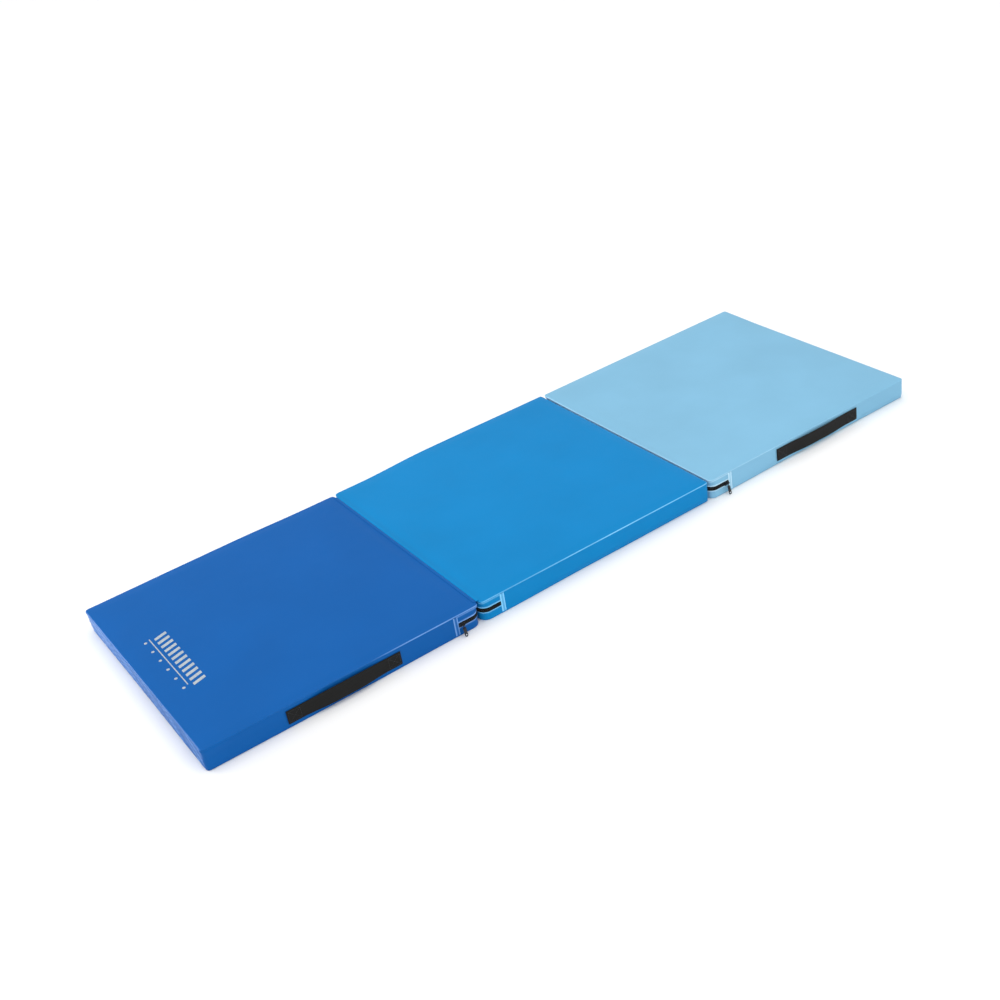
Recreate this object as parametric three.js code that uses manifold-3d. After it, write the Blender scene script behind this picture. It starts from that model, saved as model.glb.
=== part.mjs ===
// Folding gym mat: three foam panels in vinyl covers, joined edge to edge by two fabric hinges.
// The hinge between the left and middle panels is at the top and the other is at the bottom, so the
// mat folds up in a Z. Millimetres, +Z up. X runs along the open mat, the carry handles face -Y, and
// the origin is at the middle of the open mat, on the floor.
import * as THREE from "three";
import { mergeVertices } from "three/addons/utils/BufferGeometryUtils.js";
import Module from "manifold-3d";

const wasm = await Module();
wasm.setup();

// Panels
const PANEL = 600; // length and width of each panel
const THICKNESS = 50;
const HINGE_GAP = 4; // between the end walls of two panels
const END_R = 10; // upright corners at the end with no zip, in plan
const ZIP_R = 20; // and at the end that the zip runs round
const COVER = 0.8; // vinyl sheet
const GAP = 0.3; // between neighbouring pieces
const HALF = PANEL / 2;
const PITCH = PANEL + HINGE_GAP;
const WALL_BOTTOM = COVER + GAP;
const WALL_TOP = THICKNESS - COVER - GAP;

// Zip, measured outwards from the wall's face (w) and up from the floor (z)
const ZIP_Z = 25; // middle of the teeth
const OPENING = 10; // between the two flaps
const PARTING = 0.8; // between the two tapes, where the slider's neck runs
const TAPE_HEIGHT = 15;
const TAPE_W = [-1.7, -1.1];
const COIL_W = [-0.8, 0.9];
const COIL_HEIGHT = 2.6;
const SLIDER_END = 248; // the teeth end here on the slider's side, from the panel's middle
const FAR_END = 254; // and here on the other side
const END_TAB = 10; // width of the tab over each end
const TAPE_IN_TAB = 8; // tape caught under the end tabs
const SLIDER_X = 255;
const SLIDER_LENGTH = 12;
const SLIDER_HEIGHT = 10; // at its nose
const TAIL_NARROWER = 1; // on each side
const TAIL_ROUND = 1;
const NOSE_LENGTH = 4;
const NOSE_ROUND = 2;
const PLATE_W = [1.2, 2.4];
const BACK_PLATE_W = [-3.1, -2.1];
const NECK_LENGTH = 4;
const NECK_X = 3;
const FLANGE_LENGTH = 4; // along each side of the nose, down to the tape
const FLANGE_X = 3.6;
const FLANGE_Z = 4;
const FLANGE_HEIGHT = 1.1;
const FLANGE_DEPTH = 0.7;
const SUNK = 0.2; // overlap between joined shapes
const TAPE_POCKET_W = -2.1; // foam cut back behind the tapes
const SLIDER_POCKET_W = -3.9; // and further behind the slider
const POCKET_ROOM = 1;

// Pull: a link round the slider's bridge, and a flat tab hung on it
const PIVOT_W = 5.6;
const BRIDGE_HALF = 0.8;
const BRIDGE_WIDTH = 1.8;
const BRIDGE_OUTER = 5;
const BRIDGE_INNER = 3.6;
const LINK_R = 1.5; // inside its round ends
const LINK_WIRE = 1;
const LINK_CENTRES = 5;
const LEAN = THREE.MathUtils.degToRad(15); // the tab's foot stands out from the wall
const PULL_LENGTH = 25; // from the bridge to the tab's foot
const TAB_WIDTH = 7;
const TAB_THICKNESS = 1.2;
const TAB_HEAD = 2.2; // above the hole that the link goes through
const TAB_SHOULDER = 2.5;
const LINK_HOLE_R = 1.1;
const EYELET_R = 1.9;

// Handles
const HANDLE_LENGTH = 250;
const HANDLE_WEB = 30;
const HANDLE_THICKNESS = 1.6;
const HANDLE_END = 30; // sewn flat to the wall
const HANDLE_BOW = 8;
const LEFT_HANDLE = [-12, 23.5]; // its middle along the panel, and up
const RIGHT_HANDLE = [21, 26];

// Hinge strips
const STRIP_WIDTH = HINGE_GAP - 2 * GAP;
const STRIP_THICKNESS = 0.6;

function vinyl(colour) {
  return new THREE.MeshStandardMaterial({ color: colour, roughness: 0.4, metalness: 0 });
}

const DARK_BLUE = vinyl(0x1f66b2);
const MID_BLUE = vinyl(0x2090cf);
const LIGHT_BLUE = vinyl(0x8bc1e0);
const FOAM = new THREE.MeshStandardMaterial({ color: 0xe9e4d2, roughness: 0.9, metalness: 0 });
const BLACK_TAPE = new THREE.MeshStandardMaterial({ color: 0x17181a, roughness: 0.8, metalness: 0 });
const WEBBING = new THREE.MeshStandardMaterial({ color: 0x222326, roughness: 0.75, metalness: 0 });
const METAL = new THREE.MeshStandardMaterial({ color: 0x2b2c2e, roughness: 0.35, metalness: 1 });

function mesh(name, geometry, material) {
  const node = new THREE.Mesh(geometry, material);
  node.name = name;
  return node;
}

// A plan outline raised from z0 to z1
function raise(shape, z0, z1) {
  const geometry = new THREE.ExtrudeGeometry(shape, {
    depth: z1 - z0,
    bevelEnabled: false,
    curveSegments: 3,
  });
  return geometry.translate(0, 0, z0);
}

// The panel's outline, moved outwards by w, with the zip's end at +X
function panelOutline(w) {
  const shape = new THREE.Shape();
  const zip = HALF - ZIP_R;
  const end = HALF - END_R;
  shape.absarc(zip, zip, ZIP_R + w, 0, Math.PI / 2, false);
  shape.absarc(-end, end, END_R + w, Math.PI / 2, Math.PI, false);
  shape.absarc(-end, -end, END_R + w, Math.PI, 1.5 * Math.PI, false);
  shape.absarc(zip, -zip, ZIP_R + w, 1.5 * Math.PI, 2 * Math.PI, false);
  shape.closePath();
  return shape;
}

// A strip that lies along the wall round the panel's +X end, from xFront on the -Y side to xBack on
// the +Y side, between the depths w0 and w1. Its corners have the radius given.
function wallStrip(xFront, xBack, [w0, w1], z0, z1, radius = ZIP_R) {
  const centre = HALF - radius;
  const shape = new THREE.Shape();
  shape.moveTo(xFront, -HALF - w0);
  shape.lineTo(xFront, -HALF - w1);
  shape.absarc(centre, -centre, radius + w1, -Math.PI / 2, 0, false);
  shape.absarc(centre, centre, radius + w1, 0, Math.PI / 2, false);
  shape.lineTo(xBack, HALF + w1);
  shape.lineTo(xBack, HALF + w0);
  shape.absarc(centre, centre, radius + w0, Math.PI / 2, 0, true);
  shape.absarc(centre, -centre, radius + w0, 0, -Math.PI / 2, true);
  shape.closePath();
  return raise(shape, z0, z1);
}

// A closed solid for cutting and joining
function toManifold(geometry) {
  const bare = geometry.clone();
  bare.deleteAttribute("normal");
  bare.deleteAttribute("uv");
  const merged = mergeVertices(bare, 1e-4);
  return new wasm.Manifold(
    new wasm.Mesh({
      numProp: 3,
      vertProperties: new Float32Array(merged.attributes.position.array),
      triVerts: new Uint32Array(merged.index.array),
    }),
  );
}

function toGeometry(manifold) {
  const cut = manifold.getMesh();
  const geometry = new THREE.BufferGeometry();
  geometry.setAttribute("position", new THREE.BufferAttribute(cut.vertProperties, 3));
  geometry.setIndex(new THREE.BufferAttribute(cut.triVerts, 1));
  return geometry;
}

// Foam block, with a shallow pocket for the zip's tapes and a deeper one for the slider
function foamCore(xFront, xBack) {
  const block = toManifold(raise(panelOutline(-COVER - GAP), WALL_BOTTOM, WALL_TOP));
  const pocket = (past, depth, reach) => {
    const walls = [depth, POCKET_ROOM];
    return toManifold(wallStrip(xFront - past, xBack - past, walls, ZIP_Z - reach, ZIP_Z + reach));
  };
  const tapes = pocket(GAP + TAPE_IN_TAB, TAPE_POCKET_W, TAPE_HEIGHT + PARTING / 2 + POCKET_ROOM);
  const slider = pocket(POCKET_ROOM, SLIDER_POCKET_W, SLIDER_HEIGHT / 2 + POCKET_ROOM);
  return toGeometry(block.subtract(tapes).subtract(slider));
}

// An outline in the slider's plane, raised by the depth given and turned to face outwards
function faceOut(shape, depth, shift, turn) {
  const settings = { depth, bevelEnabled: false, curveSegments: 4 };
  return new THREE.ExtrudeGeometry(shape, settings).translate(0, 0, shift).rotateX(turn);
}

// One plate of a slider: an outline with a broad nose towards +X, raised outwards
function plate([w0, w1]) {
  const end = SLIDER_LENGTH / 2;
  const nose = SLIDER_HEIGHT / 2;
  const tail = nose - TAIL_NARROWER;
  const shape = new THREE.Shape();
  shape.moveTo(-end, -tail + TAIL_ROUND);
  shape.quadraticCurveTo(-end, -tail, -end + TAIL_ROUND, -tail);
  shape.lineTo(0, -tail);
  shape.lineTo(end - NOSE_LENGTH, -nose);
  shape.lineTo(end - NOSE_ROUND, -nose);
  shape.quadraticCurveTo(end, -nose, end, -nose + NOSE_ROUND);
  shape.lineTo(end, nose - NOSE_ROUND);
  shape.quadraticCurveTo(end, nose, end - NOSE_ROUND, nose);
  shape.lineTo(end - NOSE_LENGTH, nose);
  shape.lineTo(0, tail);
  shape.lineTo(-end + TAIL_ROUND, tail);
  shape.quadraticCurveTo(-end, tail, -end, tail - TAIL_ROUND);
  shape.closePath();
  return faceOut(shape, w1 - w0, w0, Math.PI / 2);
}

// Arch over the slider's front plate, which the pull's link goes round
function bridge() {
  const foot = PLATE_W[1] - 2 * SUNK;
  const top = PIVOT_W + BRIDGE_HALF;
  const under = PIVOT_W - BRIDGE_HALF;
  const shape = new THREE.Shape();
  shape.moveTo(-BRIDGE_OUTER, foot);
  shape.lineTo(-BRIDGE_OUTER, under);
  shape.quadraticCurveTo(-BRIDGE_OUTER, top, -BRIDGE_INNER, top);
  shape.lineTo(BRIDGE_INNER, top);
  shape.quadraticCurveTo(BRIDGE_OUTER, top, BRIDGE_OUTER, under);
  shape.lineTo(BRIDGE_OUTER, foot);
  shape.lineTo(BRIDGE_INNER, foot);
  shape.lineTo(BRIDGE_INNER, under);
  shape.lineTo(-BRIDGE_INNER, under);
  shape.lineTo(-BRIDGE_INNER, foot);
  shape.closePath();
  return faceOut(shape, BRIDGE_WIDTH, -BRIDGE_WIDTH / 2, Math.PI);
}

function box(size, centre) {
  return new THREE.BoxGeometry(...size).translate(...centre);
}

// Slider: two plates joined by a neck that runs between the tapes, side flanges and the bridge.
// Its origin is on the wall's face, in the middle of the teeth.
function sliderGeometry() {
  const neckSize = [NECK_LENGTH, PLATE_W[1] - BACK_PLATE_W[0] - 2 * SUNK, PARTING / 2];
  const neckAt = [NECK_X, -(PLATE_W[1] + BACK_PLATE_W[0]) / 2, 0];
  const flangeSize = [FLANGE_LENGTH, PLATE_W[0] + FLANGE_DEPTH + SUNK, FLANGE_HEIGHT];
  const flangeY = (FLANGE_DEPTH - PLATE_W[0] - SUNK) / 2;
  let slider = toManifold(plate(PLATE_W)).add(toManifold(plate(BACK_PLATE_W)));
  slider = slider.add(toManifold(box(neckSize, neckAt)));
  for (const side of [-1, 1]) {
    const flange = box(flangeSize, [FLANGE_X, flangeY, side * FLANGE_Z]);
    slider = slider.add(toManifold(flange));
  }
  return toGeometry(slider.add(toManifold(bridge())));
}

function stadium(path, radius, y0, y1) {
  path.absarc(0, y1, radius, 0, Math.PI, false);
  path.absarc(0, y0, radius, Math.PI, 2 * Math.PI, false);
  path.closePath();
  return path;
}

// Link: a flat oval ring in the plane across the bridge, with its origin on the bridge's axis
function linkGeometry() {
  const shape = stadium(new THREE.Shape(), LINK_R + LINK_WIRE, -LINK_CENTRES, 0);
  shape.holes.push(stadium(new THREE.Path(), LINK_R, -LINK_CENTRES, 0));
  const geometry = new THREE.ExtrudeGeometry(shape, {
    depth: LINK_WIRE,
    bevelEnabled: false,
    curveSegments: 8,
  });
  return geometry.translate(0, 0, -LINK_WIRE / 2).rotateX(Math.PI / 2).rotateZ(Math.PI / 2);
}

// Tab: a flat plate that hangs from the link's lower end, with an eyelet at its foot
const TAB_HANG = LINK_CENTRES + LINK_R + LINK_WIRE / 2; // from the bridge to the tab's upper hole
function tabGeometry() {
  const top = TAB_HEAD - TAB_HANG;
  const foot = -PULL_LENGTH;
  const half = TAB_WIDTH / 2;
  const shoulder = TAB_SHOULDER;
  const shape = new THREE.Shape();
  shape.moveTo(-half + shoulder, top);
  shape.quadraticCurveTo(-half, top, -half, top - shoulder);
  shape.lineTo(-half, foot + half);
  shape.absarc(0, foot + half, half, Math.PI, 2 * Math.PI, false);
  shape.lineTo(half, top - shoulder);
  shape.quadraticCurveTo(half, top, half - shoulder, top);
  shape.closePath();
  shape.holes.push(new THREE.Path().absarc(0, -TAB_HANG, LINK_HOLE_R, 0, 2 * Math.PI, true));
  shape.holes.push(new THREE.Path().absarc(0, foot + half, EYELET_R, 0, 2 * Math.PI, true));
  const geometry = new THREE.ExtrudeGeometry(shape, {
    depth: TAB_THICKNESS,
    bevelEnabled: false,
    curveSegments: 8,
  });
  return geometry.translate(0, 0, -TAB_THICKNESS / 2).rotateX(Math.PI / 2);
}

// Slider, link and tab on the wall at y = side * HALF
function pull(name, side) {
  const slider = mesh(`${name}_zip_slider`, sliderGeometry(), METAL);
  slider.position.set(SLIDER_X, side * HALF, ZIP_Z);
  slider.rotation.x = side < 0 ? 0 : Math.PI;
  const hanging = new THREE.Group();
  hanging.rotation.x = -LEAN;
  hanging.add(mesh(`${name}_pull_link`, linkGeometry(), METAL));
  hanging.add(mesh(`${name}_pull_tab`, tabGeometry(), METAL));
  const pivot = new THREE.Group();
  pivot.position.set(SLIDER_X, side * (HALF + PIVOT_W), ZIP_Z);
  pivot.rotation.z = side < 0 ? 0 : Math.PI;
  pivot.add(hanging);
  return [slider, pivot];
}

// A panel in its own frame: its zip runs round its +X end, and its slider is on the side given
function panel(name, cover, side) {
  const [front, back] = side < 0 ? [SLIDER_END, FAR_END] : [FAR_END, SLIDER_END];
  const group = new THREE.Group();
  const add = (part, geometry, material) => group.add(mesh(`${name}_${part}`, geometry, material));

  add("foam_core", foamCore(front, back), FOAM);
  add("top_sheet", raise(panelOutline(0), THICKNESS - COVER, THICKNESS), cover);
  add("bottom_sheet", raise(panelOutline(0), 0, COVER), cover);

  const skin = [-COVER, 0];
  const bandFront = -(back - END_TAB - GAP);
  const bandBack = -(front - END_TAB - GAP);
  const band = wallStrip(bandFront, bandBack, skin, WALL_BOTTOM, WALL_TOP, END_R);
  add("side_band", band.rotateZ(Math.PI), cover);

  const upper = ZIP_Z + OPENING / 2;
  const lower = ZIP_Z - OPENING / 2;
  const flapEnds = [front + GAP, back + GAP];
  add("zip_flap_upper", wallStrip(...flapEnds, skin, upper, WALL_TOP), cover);
  add("zip_flap_lower", wallStrip(...flapEnds, skin, WALL_BOTTOM, lower), cover);

  const tapeEnds = [front - TAPE_IN_TAB, back - TAPE_IN_TAB];
  const split = PARTING / 2;
  const reach = TAPE_HEIGHT + split;
  add("zip_tape_upper", wallStrip(...tapeEnds, TAPE_W, ZIP_Z + split, ZIP_Z + reach), BLACK_TAPE);
  add("zip_tape_lower", wallStrip(...tapeEnds, TAPE_W, ZIP_Z - reach, ZIP_Z - split), BLACK_TAPE);

  const coil = COIL_HEIGHT + split;
  add("zip_coil_upper", wallStrip(...flapEnds, COIL_W, ZIP_Z + split, ZIP_Z + coil), BLACK_TAPE);
  add("zip_coil_lower", wallStrip(...flapEnds, COIL_W, ZIP_Z - coil, ZIP_Z - split), BLACK_TAPE);

  for (const [part, at, y] of [["front", front, -1], ["back", back, 1]]) {
    const size = [END_TAB, COVER, WALL_TOP - WALL_BOTTOM];
    const centre = [at - END_TAB / 2, y * (HALF - COVER / 2), THICKNESS / 2];
    add(`zip_end_tab_${part}`, box(size, centre), cover);
  }

  group.add(...pull(name, side));
  return group;
}

// Webbing handle on the -Y wall, sewn flat at both ends and bowed out between them
function handle(name, x, z) {
  const steps = 24;
  const free = HANDLE_LENGTH - 2 * HANDLE_END;
  const line = [[-HANDLE_LENGTH / 2, GAP]];
  for (let i = 0; i <= steps; i += 1) {
    const along = i / steps - 0.5;
    line.push([along * free, GAP + HANDLE_BOW * Math.cos(along * Math.PI) ** 2]);
  }
  line.push([HANDLE_LENGTH / 2, GAP]);
  const outside = line.map(([u, w]) => new THREE.Vector2(u, -HALF - w - HANDLE_THICKNESS));
  const inside = line.map(([u, w]) => new THREE.Vector2(u, -HALF - w)).reverse();
  const shape = new THREE.Shape([...outside, ...inside]);
  const z0 = z - HANDLE_WEB / 2;
  const node = mesh(name, raise(shape, z0, z0 + HANDLE_WEB), WEBBING);
  node.position.x = x;
  return node;
}

function hingeStrip(name, x, z0) {
  const size = [STRIP_WIDTH, PANEL - 2 * ZIP_R, STRIP_THICKNESS];
  return mesh(name, box(size, [x, 0, z0 + STRIP_THICKNESS / 2]), MID_BLUE);
}

const mat = new THREE.Group();

const left = panel("left", DARK_BLUE, -1);
left.position.x = -PITCH;

const middle = panel("middle", MID_BLUE, -1);
middle.rotation.z = Math.PI;

const right = panel("right", LIGHT_BLUE, 1);
right.position.x = PITCH;
right.rotation.z = Math.PI;

mat.add(left, middle, right);
mat.add(handle("left_handle", -PITCH + LEFT_HANDLE[0], LEFT_HANDLE[1]));
mat.add(handle("right_handle", PITCH + RIGHT_HANDLE[0], RIGHT_HANDLE[1]));
mat.add(hingeStrip("hinge_strip_top", -PITCH / 2, THICKNESS - STRIP_THICKNESS));
mat.add(hingeStrip("hinge_strip_bottom", PITCH / 2, 0));

export default mat;
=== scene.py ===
from math import cos, pi, radians, sin

import bpy
import numpy as np
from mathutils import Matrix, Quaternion, Vector, noise
from mathutils.kdtree import KDTree


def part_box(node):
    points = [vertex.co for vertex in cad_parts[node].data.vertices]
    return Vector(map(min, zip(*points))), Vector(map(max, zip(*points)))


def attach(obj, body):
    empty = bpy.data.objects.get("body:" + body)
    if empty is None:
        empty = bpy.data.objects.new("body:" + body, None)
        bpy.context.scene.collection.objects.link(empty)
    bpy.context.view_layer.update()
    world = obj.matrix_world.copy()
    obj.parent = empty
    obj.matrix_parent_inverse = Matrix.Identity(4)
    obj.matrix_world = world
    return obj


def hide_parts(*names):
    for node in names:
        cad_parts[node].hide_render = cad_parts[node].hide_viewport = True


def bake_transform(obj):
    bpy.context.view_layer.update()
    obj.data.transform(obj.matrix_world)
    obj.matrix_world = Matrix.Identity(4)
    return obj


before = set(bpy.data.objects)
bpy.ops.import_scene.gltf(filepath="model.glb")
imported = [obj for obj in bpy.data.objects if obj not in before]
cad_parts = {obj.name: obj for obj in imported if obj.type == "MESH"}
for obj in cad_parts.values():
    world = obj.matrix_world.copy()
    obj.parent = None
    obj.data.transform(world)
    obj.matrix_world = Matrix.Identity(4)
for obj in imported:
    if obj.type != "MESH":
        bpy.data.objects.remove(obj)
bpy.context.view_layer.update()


# ---------------------------------------------------------------------------------------------
# Camera. Three metres off, above the dark blue end, and tilted, so that the row of panels climbs
# steeply across the frame.
MM = 0.001
CAMERA_AZIMUTH = -29.607
CAMERA_ELEVATION = 31.198
CAMERA_ROLL = 9.98
CAMERA_DISTANCE = 3.16655
CAMERA_TARGET = Vector((-0.0115, 0.0594, 0))
CAMERA_LENS, CAMERA_SENSOR = 50.31, 36  # mm

azimuth, elevation = radians(CAMERA_AZIMUTH), radians(CAMERA_ELEVATION)
away = Vector((sin(azimuth) * cos(elevation), -cos(azimuth) * cos(elevation), sin(elevation)))
camera_data = bpy.data.cameras.new("camera")
camera_data.lens = CAMERA_LENS
camera_data.sensor_width = CAMERA_SENSOR
camera_data.clip_end = 50
camera = bpy.data.objects.new("camera", camera_data)
camera.rotation_mode = "QUATERNION"
upright = (-away).to_track_quat("-Z", "Y")
camera.rotation_quaternion = upright @ Quaternion((0, 0, 1), -radians(CAMERA_ROLL))
camera.location = CAMERA_TARGET + away * CAMERA_DISTANCE
bpy.context.scene.collection.objects.link(camera)
bpy.context.scene.camera = camera


# ---------------------------------------------------------------------------------------------
# Studio. A white floor under a big overhead tent that is dimmer half-way down its sides, with a soft
# light in front and a low one at the left, which skims the dark blue end.
FLOOR_COLOUR = "#F8F8F8"
TENT_LOW, TENT_SIDES, TENT_TOP = 1.1, 0.55, 1.7
FRONT_POWER = 24
LEFT_POWER = 45


def to_linear(colour):
    """An sRGB hex colour as linear RGBA"""
    channels = [int(colour[i:i + 2], 16) / 255 for i in (1, 3, 5)]
    return [c / 12.92 if c <= 0.04045 else ((c + 0.055) / 1.055) ** 2.4 for c in channels] + [1]


def add_node(material, kind, links=(), **settings):
    """One node with its settings. Each link is (input, output socket of another node)."""
    node = material.node_tree.nodes.new(kind)
    for name, value in settings.items():
        setattr(node, name, value)
    for name, source in links:
        if hasattr(source, "is_output"):
            material.node_tree.links.new(source, node.inputs[name])
        else:
            node.inputs[name].default_value = source
    return node


def new_material(name):
    """An empty material with its own surface shader, which is returned with it"""
    material = bpy.data.materials.new(name)
    material.use_nodes = True
    return material, material.node_tree.nodes["Principled BSDF"]


def give(piece, *materials):
    piece.data.materials.clear()
    for material in materials:
        piece.data.materials.append(material)


def add_light(name, location, size, power):
    light = bpy.data.lights.new(name, "AREA")
    light.shape = "RECTANGLE"
    light.size, light.size_y = size
    light.energy = power
    lamp = bpy.data.objects.new(name, light)
    lamp.location = location
    lamp.rotation_euler = (-Vector(location)).to_track_quat("-Z", "Y").to_euler()
    bpy.context.scene.collection.objects.link(lamp)


bpy.ops.object.select_all(action="DESELECT")
bpy.ops.mesh.primitive_plane_add(size=60, location=(0, 0, -0.0002))
floor = bpy.context.object
floor.name = "studio_floor"
floor_paint, floor_shader = new_material("matt_white_floor_paint")
floor_shader.inputs["Base Color"].default_value = to_linear(FLOOR_COLOUR)
floor_shader.inputs["Roughness"].default_value = 0.9
give(floor, floor_paint)

surround = bpy.data.worlds.new("white_surround")
surround.use_nodes = True
tent_at = add_node(surround, "ShaderNodeTexCoord")
tent_height = add_node(surround, "ShaderNodeSeparateXYZ", [("Vector", tent_at.outputs["Generated"])])
tent = add_node(surround, "ShaderNodeValToRGB", [("Fac", tent_height.outputs["Z"])])
tent.color_ramp.elements[0].position = 0.2
tent.color_ramp.elements[0].color = (TENT_LOW, TENT_LOW, TENT_LOW, 1)
tent.color_ramp.elements[1].position = 0.85
tent.color_ramp.elements[1].color = (TENT_TOP, TENT_TOP, TENT_TOP, 1)
for height in (0.35, 0.65):
    stop = tent.color_ramp.elements.new(height)
    stop.color = (TENT_SIDES, TENT_SIDES, TENT_SIDES, 1)
surround.node_tree.links.new(tent.outputs["Color"], surround.node_tree.nodes["Background"].inputs["Color"])
bpy.context.scene.world = surround
bpy.context.scene.view_settings.view_transform = "Standard"
add_light("front_softbox", (0.9, -3.4, 2.2), (3.0, 1.0), FRONT_POWER)
add_light("left_softbox", (-2.3, 2.0, 0.45), (1.6, 0.5), LEFT_POWER)


# ---------------------------------------------------------------------------------------------
# Panels. Three foam blocks in covers of vinyl-coated fabric, each with a zip round one end. In a
# panel's own frame that end is +X, and the panel is turned round where its zip end faces -X.
low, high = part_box("middle_top_sheet")
HALF = (high.x - low.x) / 2
THICK = high.z
PITCH = (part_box("right_top_sheet")[0].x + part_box("right_top_sheet")[1].x) / 2
ZIP_R = 20 * MM  # upright corners at the zip's end
END_R = 10 * MM  # and at the other end
VINYL = 0.8 * MM

# Edge: the top and bottom sheets roll over onto the wall, and meet the side band in a sunk seam
ROLL_R = 2 * MM
ROLL_BACK = radians(-42)
ROLL_DEPTH = 2.4 * MM
ROLL_LENGTH = ROLL_R * (pi / 2 - ROLL_BACK)
SEAM_W = ROLL_R * cos(ROLL_BACK) - ROLL_DEPTH
SEAM_Z = ROLL_R * (1 - sin(ROLL_BACK))
TOP_Z = THICK - 0.9 * MM  # the top sheet's edge, before the foam crowns it
WALL_W = -0.5 * MM

PANELS = {
    "left": {"x": -PITCH, "sign": 1, "body": "left_panel", "slot": "left_vinyl", "seed": 3},
    "middle": {"x": 0, "sign": -1, "body": "middle_panel", "slot": "middle_vinyl", "seed": 11},
    "right": {"x": PITCH, "sign": -1, "body": "right_panel", "slot": "right_vinyl", "seed": 27},
}

TOP_R = 9 * MM  # the foam fills the zip's corners out more at the top
FILLED_FROM = 34 * MM
FLAT_SIDE = HALF - ZIP_R
ZIP_ARC = ZIP_R * pi / 2
LONG_SIDE = 2 * HALF - ZIP_R - END_R
END_ARC = END_R * pi / 2
TURN_1 = FLAT_SIDE
TURN_2 = TURN_1 + ZIP_ARC
TURN_3 = TURN_2 + LONG_SIDE
TURN_4 = TURN_3 + END_ARC
HALF_ROUND = TURN_4 + HALF - END_R  # from the middle of the zip's end to the middle of the other end


def ease(t):
    t = np.clip(t, 0, 1)
    return t * t * (3 - 2 * t)


def wall(s, w, z=0):
    """Points on the panel's wall. s runs from the middle of the zip's end towards +Y, or towards -Y
    where it is negative, and w is the distance out of the wall. Also gives the wall's direction."""
    side = np.where(s < 0, -1.0, 1.0)
    s = np.abs(s)
    a = np.clip((s - TURN_1) / ZIP_R, 0, pi / 2)
    b = np.clip((s - TURN_3) / END_R, 0, pi / 2)
    zones = [s < TURN_1, s < TURN_2, s < TURN_3, s < TURN_4]
    c1, c2 = HALF - ZIP_R, HALF - END_R
    x = np.select(
        zones,
        [HALF + w, c1 + (ZIP_R + w) * np.cos(a), c1 - (s - TURN_2), -c2 - (END_R + w) * np.sin(b)],
        -HALF - w,
    )
    y = np.select(
        zones,
        [s, c1 + (ZIP_R + w) * np.sin(a), HALF + w, c2 + (END_R + w) * np.cos(b)],
        c2 - (s - TURN_4),
    )
    nx = np.cos(a) * (s < TURN_3) - np.sin(b)
    ny = np.sin(a) * np.cos(b)
    x, y = fill_corner(x, y, w, z)
    return x, y * side, nx, ny * side


def fill_corner(x, y, w, z):
    """Moves the points of a zip's corner out where they are high up"""
    c, c_top = HALF - ZIP_R, HALF - TOP_R
    angle = np.arctan2(np.maximum(y - c, 0), np.maximum(x - c, 1e-9))
    inside = (x > c) & (y > c)
    share = ease((z - FILLED_FROM) / (THICK - 4 * MM - FILLED_FROM)) * inside
    new_x = c_top + (TOP_R + w) * np.cos(angle)
    new_y = c_top + (TOP_R + w) * np.sin(angle)
    return x + (new_x - x) * share, y + (new_y - y) * share


def wall_at(x, side):
    """The place s on the wall of a point x along the panel's front (side -1) or back (side 1)"""
    return side * (TURN_2 + HALF - ZIP_R - x)


def coordinates(piece):
    co = np.empty(len(piece.data.vertices) * 3)
    piece.data.vertices.foreach_get("co", co)
    return co.reshape(-1, 3)


def put(piece, co):
    piece.data.vertices.foreach_set("co", np.ascontiguousarray(co, dtype=np.float32).ravel())
    piece.data.update()


def to_frame(panel, co):
    """Points in a panel's own frame, as points in the mat's frame"""
    sign, x = PANELS[panel]["sign"], PANELS[panel]["x"]
    return np.column_stack([co[:, 0] * sign + x, co[:, 1] * sign, co[:, 2]])


def apply_all(piece):
    """Applies the piece's modifiers, in their order"""
    bpy.ops.object.select_all(action="DESELECT")
    bpy.context.view_layer.objects.active = piece
    piece.select_set(True)
    for modifier in list(piece.modifiers):
        bpy.ops.object.modifier_apply(modifier=modifier.name)


def smooth(piece, angle=40):
    bpy.ops.object.select_all(action="DESELECT")
    bpy.context.view_layer.objects.active = piece
    piece.select_set(True)
    bpy.ops.object.shade_smooth_by_angle(angle=radians(angle))


def fasten(piece, body, slot, *nodes):
    """The piece moves with its body and takes the place of these CAD nodes, which are hidden.
    The slot is not used.
    """
    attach(piece, body)
    if nodes:
        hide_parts(*nodes)


# ---------------------------------------------------------------------------------------------
# Foam. Each block is soft polyurethane foam, cut a little over size and squeezed into its cover,
# so that the cover is blown out between its seams. A cloth simulation under pressure gives how far.
FOAM_VOXEL = 6 * MM
FOAM_INSET = 3 * MM
FILL_FRAMES = 20
FILL_PRESSURE = 4
FILL_SCALE = 5 * MM  # a point pressed out this far is most of the way to tight
FOAM_SHORT = 1.6 * MM  # foam surface behind the cover


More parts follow.
